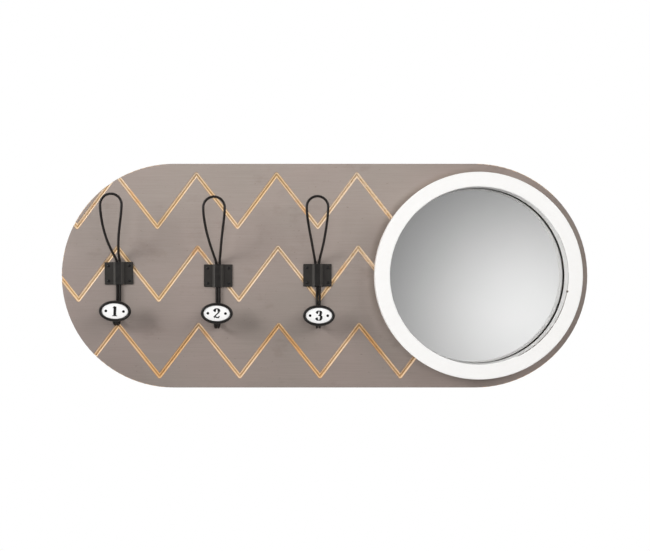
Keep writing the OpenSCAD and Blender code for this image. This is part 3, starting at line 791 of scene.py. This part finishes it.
boardFace = -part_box("board")[0].y / mm
runX = wire["radius"] + wire["gap"] / 2
runZ = wire["radius"] + wire["lift"]
frontZ = runZ + 2 * wire["footBend"]
leanAngle = math.radians(wire["lean"])
lowerTopY = wire["bracketHalf"] + wire["lowerBend"] * math.sin(leanAngle)
lowerTopZ = runZ + wire["lowerBend"] * (1 - math.cos(leanAngle))
upperBendZ = wire["upperBend"] * (1 - math.cos(leanAngle))
leanLength = (wire["loopReach"] - lowerTopZ - upperBendZ) / math.sin(leanAngle)
upperStartY = lowerTopY + leanLength * math.cos(leanAngle)
upperEndY = upperStartY + wire["upperBend"] * math.sin(leanAngle)


def wireHeight(y):
    # run, sharp bend, straight at the lean angle, long bend back to upright, upright
    inLower = np.clip(y - wire["bracketHalf"], 0, lowerTopY - wire["bracketHalf"])
    lower = runZ + wire["lowerBend"] - np.sqrt(wire["lowerBend"] ** 2 - inLower ** 2)
    straight = lowerTopZ + (y - lowerTopY) * math.tan(leanAngle)
    inUpper = np.clip(upperEndY - y, 0, upperEndY - upperStartY)
    upper = wire["loopReach"] - wire["upperBend"] + np.sqrt(wire["upperBend"] ** 2 - inUpper ** 2)
    return np.where(y <= lowerTopY, lower, np.where(y <= upperStartY, straight, upper))


def loopStart(hook):
    return hook["loopTop"] - wire["loopRadius"]


def wireHalfWidth(hook, y):
    # the runs' spacing, opening as the power openPower up to the sharp bend, then a spread whose
    # slope is spread * (1 - s) + steady * (1 - s^n), so that it ends upright
    low, exitY = -wire["bracketHalf"], wire["bracketHalf"] + wire["lowerBend"]
    length = loopStart(hook) - exitY
    s = np.clip((y - exitY) / length, 0, 1)
    n = wire["steadyPower"]
    steady = ((wire["loopRadius"] - hook["exitHalf"]) / length - wire["spread"] / 2) * (n + 1) / n
    opened = np.clip((y - low) / (exitY - low), 0, 1) ** wire["openPower"]
    return (runX + (hook["exitHalf"] - runX) * opened
            + length * (wire["spread"] * s * (1 - s / 2) + steady * s * (1 - s ** n / (n + 1))))


def wireSway(hook, y):
    # smooth steps s * s * (3 - 2 s) between the four sideways places of the strands' middle
    heights = [-wire["bracketHalf"], wire["bracketHalf"], hook["swayHeight"], loopStart(hook)]
    places = hook["sway"]
    middle = np.full_like(y, places[0])
    for k in range(3):
        s = np.clip((y - heights[k]) / (heights[k + 1] - heights[k]), 0, 1)
        middle += (places[k + 1] - places[k]) * s * s * (3 - 2 * s)
    return middle


def wireHalf(hook):
    # right half from its end behind the badge to the loop's top, measured from the strands'
    # middle, with the direction in which its side view runs at each point
    count = wire["points"]
    bend = np.radians(np.linspace(0, 180, count["foot"]))
    footZ, loopY = runZ + wire["footBend"], loopStart(hook)
    tip = np.array([[runX, wire["tipAboveBadge"] - hook["badgeDrop"], frontZ]])
    foot = np.stack([np.full_like(bend, runX), -hook["footDrop"] - wire["footBend"] * np.sin(bend),
                     footZ + wire["footBend"] * np.cos(bend)], axis=-1)
    half, low = wire["bracketHalf"], -hook["footDrop"] + wire["footClear"]
    y = np.concatenate([np.linspace(low, -half, count["below"])[:-1],
                        np.linspace(-half, half, count["run"])[:-1],
                        np.linspace(half, lowerTopY, count["sharpBend"]),
                        np.linspace(lowerTopY, loopY, count["lean"])[1:-1]])
    sides = np.stack([wireHalfWidth(hook, y), y, wireHeight(y)], axis=-1)
    turn = np.radians(np.linspace(0, 90, count["top"]))
    top = np.stack([wire["loopRadius"] * np.cos(turn), loopY + wire["loopRadius"] * np.sin(turn),
                    wireHeight(loopY + wire["loopRadius"] * np.sin(turn))], axis=-1)
    path = np.concatenate([tip, foot, sides, top])
    sideView = np.gradient(path[:, 1:], axis=0)
    sideView[-1] = sideView[-2]
    sideView /= np.linalg.norm(sideView, axis=1, keepdims=True)
    return path, sideView


def roundTube(path, sideView, radius, sides):
    # ring j, point k: path_j + radius * (cos k * out_j + sin k * across_j), where out_j stands
    # square to the wire's side view and across_j is square to out_j and to the path
    out = np.stack([np.zeros(len(path)), -sideView[:, 1], sideView[:, 0]], axis=-1)
    along = np.gradient(path, axis=0)
    along /= np.linalg.norm(along, axis=1, keepdims=True)
    out -= np.sum(out * along, axis=1, keepdims=True) * along
    out /= np.linalg.norm(out, axis=1, keepdims=True)
    across = np.cross(along, out)
    k = np.linspace(0, 2 * np.pi, sides, endpoint=False)[None, :, None]
    around = np.cos(k) * out[:, None, :] + np.sin(k) * across[:, None, :]
    points = path[:, None, :] + radius * around
    return points, gridFaces(len(path), sides) + capFaces(len(path), sides)


def hookOrigin(hook):
    x, y, _ = middleOf(f"hook_bracket_{hook['number']}")
    return np.array([x, y, boardFace])


def hookWire(hook):
    half, sideView = wireHalf(hook)
    path = np.concatenate([half, half[-2::-1] * [-1, 1, 1]])
    path[:, 0] += wireSway(hook, path[:, 1])
    views = np.concatenate([sideView, sideView[-2::-1]])
    points, faces = roundTube(path, views, wire["radius"], wire["sides"])
    number = hook["number"]
    putPiece(f"bentWire{number}", points + hookOrigin(hook), faces, finish["wire"],
             [f"hook_wire_{number}"])


for hook in hooks:
    hookWire(hook)
print("hook wires bent")


# The badges: an oval cup, a domed plate, its numeral and two pins

badge = {
    "width": 41.5,
    "height": 27.4,
    "depth": 5.6,
    "floor": 1.9,  # thickness of the cup's floor
    "rim": 3.5,
    "backRound": 1.3,
    "plate": 2.0,  # thickness of the plate at its edge
    "crown": 0.4,  # and what its dome adds in the middle
    "flat": 0.06,  # share of the dome's half width that is flat
    "plateEase": 0.5,
    "gap": 0.1,  # between plate and rim
    "seat": 0.5,  # how deep the wire beds into the cup's back
    "points": dict(around=120, back=9, rim=25, ease=7, dome=18),
}
badgeZ = frontZ + wire["radius"] - badge["seat"]
plateHalfWidth = badge["width"] / 2 - badge["rim"] - badge["gap"]
plateHalfHeight = badge["height"] / 2 - badge["rim"] - badge["gap"]


def ovalSurface(halfWidth, halfHeight, profile):
    # ring i, point k: ((halfWidth - inset_i) cos k, (halfHeight - inset_i) sin k, height_i)
    around = badge["points"]["around"]
    k = np.linspace(0, 2 * np.pi, around, endpoint=False)
    inset, height = profile[:, 0, None], profile[:, 1, None]
    points = np.stack([(halfWidth - inset) * np.cos(k), (halfHeight - inset) * np.sin(k),
                       height + 0 * k], axis=-1)
    return points, gridFaces(len(profile), around) + capFaces(len(profile), around)


def onBadge(hook, points):
    # the badge hangs on the wire's two ends, a little to one side
    spot = [hook["sway"][0] + hook["badgeShift"], -hook["badgeDrop"], badgeZ]
    return turned(points, hook["badgeTurn"]) + spot + hookOrigin(hook)


def cupProfile():
    # rounded back edge, straight side, half-round rim and the wall down to the floor
    back = np.radians(np.linspace(0, 90, badge["points"]["back"]))
    rim = np.radians(np.linspace(0, 180, badge["points"]["rim"]))
    rimRadius = badge["rim"] / 2
    backEdge = badge["backRound"] * np.stack([1 - np.sin(back), 1 - np.cos(back)], axis=-1)
    rimTop = np.stack([rimRadius * (1 - np.cos(rim)),
                       badge["depth"] - rimRadius + rimRadius * np.sin(rim)], axis=-1)
    return np.concatenate([backEdge, rimTop, [[badge["rim"], badge["floor"]]]])


def plateProfile():
    # straight edge, eased corner, then a dome that rises as 1 - s * s towards the middle
    ease = np.radians(np.linspace(0, 90, badge["points"]["ease"]))
    corner = badge["plateEase"] * np.stack([1 - np.cos(ease), np.sin(ease) - 1], axis=-1)
    corner += [0, badge["plate"]]
    s = np.linspace(1 - badge["plateEase"] / plateHalfHeight, badge["flat"],
                    badge["points"]["dome"])[1:]
    dome = np.stack([plateHalfHeight * (1 - s), badge["plate"] + badge["crown"] * (1 - s * s)],
                    axis=-1)
    return np.concatenate([[[0, 0]], corner, dome]) + [0, badge["floor"]]


numeral = {
    "stem": 3.6,  # width of upright strokes
    "hair": 1.15,  # width of level strokes
    "swell": 1.6,  # how fast a stroke goes from one to the other
    "proud": 0.10,  # how far the paint stands out
    "sunk": 0.3,  # and how far its back lies below the plate's face
    "halfHeight": 5.9,
    "size": 1.07,  # all strokes are drawn this much larger
    "dot": 1.15,  # radius of a stroke's round end
    "dotSides": 28,
    "pinRim": 1.75,  # radius of the dark rim round a pin's head
    "pinReach": 11.4,  # from the badge's middle to a pin
}


def stroke(points, weight):
    # a ribbon, widest where the stroke runs upright: width = hair + (stem - hair) * |up|^swell
    along = np.gradient(points, axis=0)
    along /= np.linalg.norm(along, axis=1, keepdims=True)
    upright = np.abs(along[:, 1]) ** numeral["swell"]
    width = weight * (numeral["hair"] + (numeral["stem"] - numeral["hair"]) * upright)
    side = np.stack([-along[:, 1], along[:, 0]], axis=-1) * width[:, None] / 2
    return points - side, points + side


def bezier(p0, p1, p2, p3, steps=30):
    # (1 - t)^3 p0 + 3 (1 - t)^2 t p1 + 3 (1 - t) t^2 p2 + t^3 p3
    t = np.linspace(0, 1, steps)[:, None]
    return ((1 - t) ** 3 * np.array(p0) + 3 * (1 - t) ** 2 * t * np.array(p1)
            + 3 * (1 - t) * t ** 2 * np.array(p2) + t ** 3 * np.array(p3))


def numeralStrokes(number):
    # each stroke's path and its weight
    top = numeral["halfHeight"]
    if number == 1:
        return [(np.linspace((0.25, top - 0.2), (0.25, -top + 0.3), 8), 1.0),
                (bezier((0.0, top - 0.1), (-0.6, top - 1.1), (-1.4, top - 1.7), (-2.5, top - 1.8)),
                 0.75),
                (np.linspace((-2.6, -top + 0.31), (3.1, -top + 0.31), 8), 1.0)]
    if number == 2:
        return [(bezier((-2.5, 2.6), (-2.6, 6.6), (3.3, 6.7), (2.6, 2.2)), 1.0),
                (bezier((2.6, 2.2), (2.2, -0.4), (-1.6, -1.6), (-2.9, -top + 0.9)), 0.62),
                (bezier((-3.1, -top + 0.9), (-1.2, -3.2), (0.9, -5.9), (2.5, -top + 1.1)), 1.15),
                (bezier((2.5, -top + 1.0), (2.9, -4.2), (3.0, -3.8), (3.1, -3.0)), 0.45)]
    return [(bezier((-2.4, 3.2), (-2.0, 6.4), (2.9, 6.6), (2.3, 2.8)), 1.0),
            (bezier((2.3, 2.8), (1.9, 0.9), (0.6, 0.4), (-0.7, 0.35)), 1.0),
            (bezier((-0.7, 0.35), (2.0, 0.4), (3.2, -0.9), (2.7, -2.9)), 1.0),
            (bezier((2.7, -2.9), (2.2, -6.3), (-2.6, -6.6), (-2.7, -2.9)), 1.0)]


def numeralDots(number):
    return {1: [], 2: [(-2.1, 2.6)], 3: [(-2.0, 3.0), (-2.3, -3.1)]}[number]


def plateHeightAt(y):
    # floor + plate + crown * (1 - s * s), the plate's dome on its upright middle line
    s = np.clip(np.abs(y) / plateHalfHeight, badge["flat"], 1)
    return badge["floor"] + badge["plate"] + badge["crown"] * (1 - s * s)


def raised(points, change):
    # the plate's face under the points, and so much in front of it
    return np.column_stack([points, plateHeightAt(points[:, 1]) + change])


def paintedBar(low, high):
    # front and back of a ribbon's two edges, joined into a closed bar
    sunk, proud = -numeral["sunk"], numeral["proud"]
    bar = np.stack([raised(low, sunk), raised(high, sunk), raised(high, proud),
                    raised(low, proud)], axis=1)
    return bar.reshape(-1, 3), gridFaces(len(low), 4) + capFaces(len(low), 4)


def paintedDisc(x, y, radius):
    # rim point k: (x + radius * cos k, y + radius * sin k), once behind the face and once before
    sides = numeral["dotSides"]
    k = np.linspace(0, 2 * np.pi, sides, endpoint=False)
    rim = np.stack([x + radius * np.cos(k), y + radius * np.sin(k)], axis=-1)
    disc = np.concatenate([raised(rim, -numeral["sunk"]), raised(rim, numeral["proud"])])
    return disc, gridFaces(2, sides) + capFaces(2, sides)


def paintedNumeral(hook):
    number, size = hook["number"], numeral["size"]
    parts = [paintedBar(*stroke(path * size, weight)) for path, weight in numeralStrokes(number)]
    parts += [paintedDisc(x * size, y * size, numeral["dot"]) for x, y in numeralDots(number)]
    parts += [paintedDisc(side * numeral["pinReach"], 0, numeral["pinRim"]) for side in (-1, 1)]
    faces, count = [], 0
    for partPoints, partFaces in parts:
        faces += [[corner + count for corner in face] for face in partFaces]
        count += len(partPoints)
    points = onBadge(hook, np.concatenate([partPoints for partPoints, _ in parts]))
    putPiece(f"numeral{number}", points, faces, finish["ink"],
             flatFaces=range(len(faces)))


def badgePieces(hook):
    number = hook["number"]
    points, faces = ovalSurface(badge["width"] / 2, badge["height"] / 2, cupProfile())
    putPiece(f"ovalCup{number}", onBadge(hook, points), faces, finish["cup"],
             [f"badge_cup_{number}"], flatFaces=[len(faces) - 2, len(faces) - 1])
    points, faces = ovalSurface(plateHalfWidth, plateHalfHeight, plateProfile())
    putPiece(f"ovalPlate{number}", onBadge(hook, points), faces, finish["enamel"],
             [f"badge_plate_{number}"], flatFaces=[len(faces) - 2])
    paintedNumeral(hook)


for hook in hooks:
    badgePieces(hook)
print("badges made")


# The mirror: a clear pane over a thin disc of silvering

mirror = {
    "film": 0.12,  # thickness of the silvering
    "behindPane": 0.02,  # between the silvering and the pane
    "edgeEase": 0.3,
    "around": 240,
}


def mirrorPieces():
    low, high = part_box("mirror_glass")
    radius, centreX = (high.x - low.x) / 2 / mm, (high.x + low.x) / 2 / mm
    back, front = -high.y / mm, -low.y / mm
    k = np.linspace(0, 2 * np.pi, mirror["around"], endpoint=False)

    def disc(name, profile, material):
        # ring i, point k: (centre + r_i cos k, r_i sin k, z_i)
        r, z = profile[:, 0, None], profile[:, 1, None]
        points = np.stack([centreX + r * np.cos(k), r * np.sin(k), z + 0 * k], axis=-1)
        faces = gridFaces(len(profile), len(k)) + capFaces(len(profile), len(k))
        putPiece(name, points, faces, material, ["mirror_glass"],
                 flatFaces=range(len(faces)))

    ease, film = mirror["edgeEase"], back + mirror["film"]
    disc("mirrorPane", np.array([[radius - ease, film + mirror["behindPane"]],
                                 [radius, film + ease], [radius, front - ease],
                                 [radius - ease, front]]), finish["pane"])
    disc("mirrorSilver", np.array([[radius - ease, back], [radius - ease, film]]), finish["silver"])


mirrorPieces()
print("mirror set")


# Soft studio light, a pale floor far below the object and a white surround. A lamp stands at its
# distance from its aim, and reflections show it if it is mirrored.

lamps = {
    "leftLamp": dict(aim=(-0.14, -0.04, -0.05), towards=(-0.795, -0.504, 0.339), distance=2.0,
                     wide=0.8, tall=0.8, watts=28.8, mirrored=True),
    "rightLamp": dict(aim=(-0.01, -0.04, -0.05), towards=(0.707, -0.541, 0.457), distance=3.0,
                      wide=1.35, tall=1.35, watts=35, mirrored=True),
    "frontLamp": dict(aim=(0.0, 0.0, 0.0), towards=(0.18, -1.0, 0.20), distance=1.9, wide=1.3,
                      tall=1.0, watts=14.3, mirrored=False),
    "sideLamp": dict(aim=(0.1, 0.0, 0.0), towards=(-0.96, -0.20, -0.18), distance=2.0, wide=0.8,
                     tall=0.8, watts=6.0, mirrored=False),
}

studio = {
    # light from all sides, which grows towards the back
    "allRound": dict(over=(0.0, 0.6), least=0.04, most=0.62),
    # what reflections show: a grey with a glow, and brighter far from it (angles in radians)
    "glowTowards": (0.257, -1.0, -0.052),
    "glowWidth": 0.149,
    "glow": 0.80,
    "grey": 0.145,
    "farFromGlow": dict(over=(0.6, 1.5), most=0.80),
    "floorDrop": 0.60,  # below the object
    "floorRadius": 0.95,
    "floorSides": 96,
    "floorPale": (0.86, 0.86, 0.85),
    "floorMottle": dict(scale=3, detail=2, over=(0.3, 0.7), tint=(0.84, 0.84, 0.83)),
    "floorRoughness": 0.8,
    "floorFade": (0.55, 0.97),  # shares of its radius between which it fades away
}


def softLamp(name, facts):
    data = bpy.data.lights.new(name, "AREA")
    data.shape = "RECTANGLE"
    data.size, data.size_y = facts["wide"], facts["tall"]
    data.energy = facts["watts"]
    lamp = bpy.data.objects.new(name, data)
    away = Vector(facts["towards"]).normalized()
    lamp.location = Vector(facts["aim"]) + away * facts["distance"]
    lamp.rotation_euler = away.to_track_quat("Z", "Y").to_euler()
    lamp.visible_glossy = lamp.visible_transmission = facts["mirrored"]
    bpy.context.scene.collection.objects.link(lamp)


def makeSurround():
    # white where the camera sees it. Reflections show grey + glow * exp(-(angle / glowWidth)^2)
    world = bpy.data.worlds.new("surround")
    bpy.context.scene.world = world
    world.use_nodes = True
    tree = world.node_tree
    tree.nodes.clear()
    output = tree.nodes.new("ShaderNodeOutputWorld")
    towards = tree.nodes.new("ShaderNodeTexCoord").outputs["Generated"]
    dot = tree.nodes.new("ShaderNodeVectorMath")
    dot.operation = "DOT_PRODUCT"
    plug(dot.inputs[0], towards)
    dot.inputs[1].default_value = Vector(studio["glowTowards"]).normalized()
    angle = sums("ARCCOSINE", dot.outputs["Value"])
    ratio = sums("DIVIDE", angle, studio["glowWidth"])
    glow = sums("EXPONENT", times(times(ratio, ratio), -1.0))
    near = sums("MULTIPLY_ADD", glow, studio["glow"], studio["grey"])
    wide = plus(near, amount(angle, studio["farFromGlow"]))
    rays = tree.nodes.new("ShaderNodeLightPath")
    reflected = sums("MAXIMUM", rays.outputs["Is Glossy Ray"], rays.outputs["Is Transmission Ray"])
    around = amount(axes(towards)[1], studio["allRound"])
    strength = blend(reflected, around, wide)
    strength = blend(rays.outputs["Is Camera Ray"], strength, (1, 1, 1))
    background = tree.nodes.new("ShaderNodeBackground")
    plug(background.inputs["Color"], strength)
    tree.links.new(background.outputs[0], output.inputs["Surface"])


def makeFloor():
    # a pale disc that fades into the white surround towards its rim
    k = np.linspace(0, 2 * np.pi, studio["floorSides"], endpoint=False)
    r = studio["floorRadius"]
    depth = solidBox[0][2] - studio["floorDrop"]
    mesh = bpy.data.meshes.new("floor")
    mesh.from_pydata(np.column_stack([r * np.cos(k), r * np.sin(k), 0 * k + depth]).tolist(), [],
                     [list(range(len(k)))])
    floor = bpy.data.objects.new("floor", mesh)
    bpy.context.scene.collection.objects.link(floor)
    material, at = newMaterial("paleFloor")
    tree = material.node_tree
    dress(material, marked(studio["floorPale"], at, studio["floorMottle"], "MIX"),
          studio["floorRoughness"])
    white = tree.nodes.new("ShaderNodeEmission")
    x, y, _ = axes(at)
    seen = tree.nodes.new("ShaderNodeLightPath").outputs["Is Camera Ray"]
    fadeFrom, fadeTo = studio["floorFade"]
    fade = times(seen, span(farFrom(x, y), fadeFrom * r, fadeTo * r))
    mix = tree.nodes.new("ShaderNodeMixShader")
    plug(mix.inputs[0], fade)
    tree.links.new(tree.nodes["shader"].outputs[0], mix.inputs[1])
    tree.links.new(white.outputs[0], mix.inputs[2])
    tree.links.new(mix.outputs[0], tree.nodes["output"].inputs["Surface"])
    mesh.materials.append(material)


for name, facts in lamps.items():
    softLamp(name, facts)
makeSurround()
makeFloor()
print("studio lit")
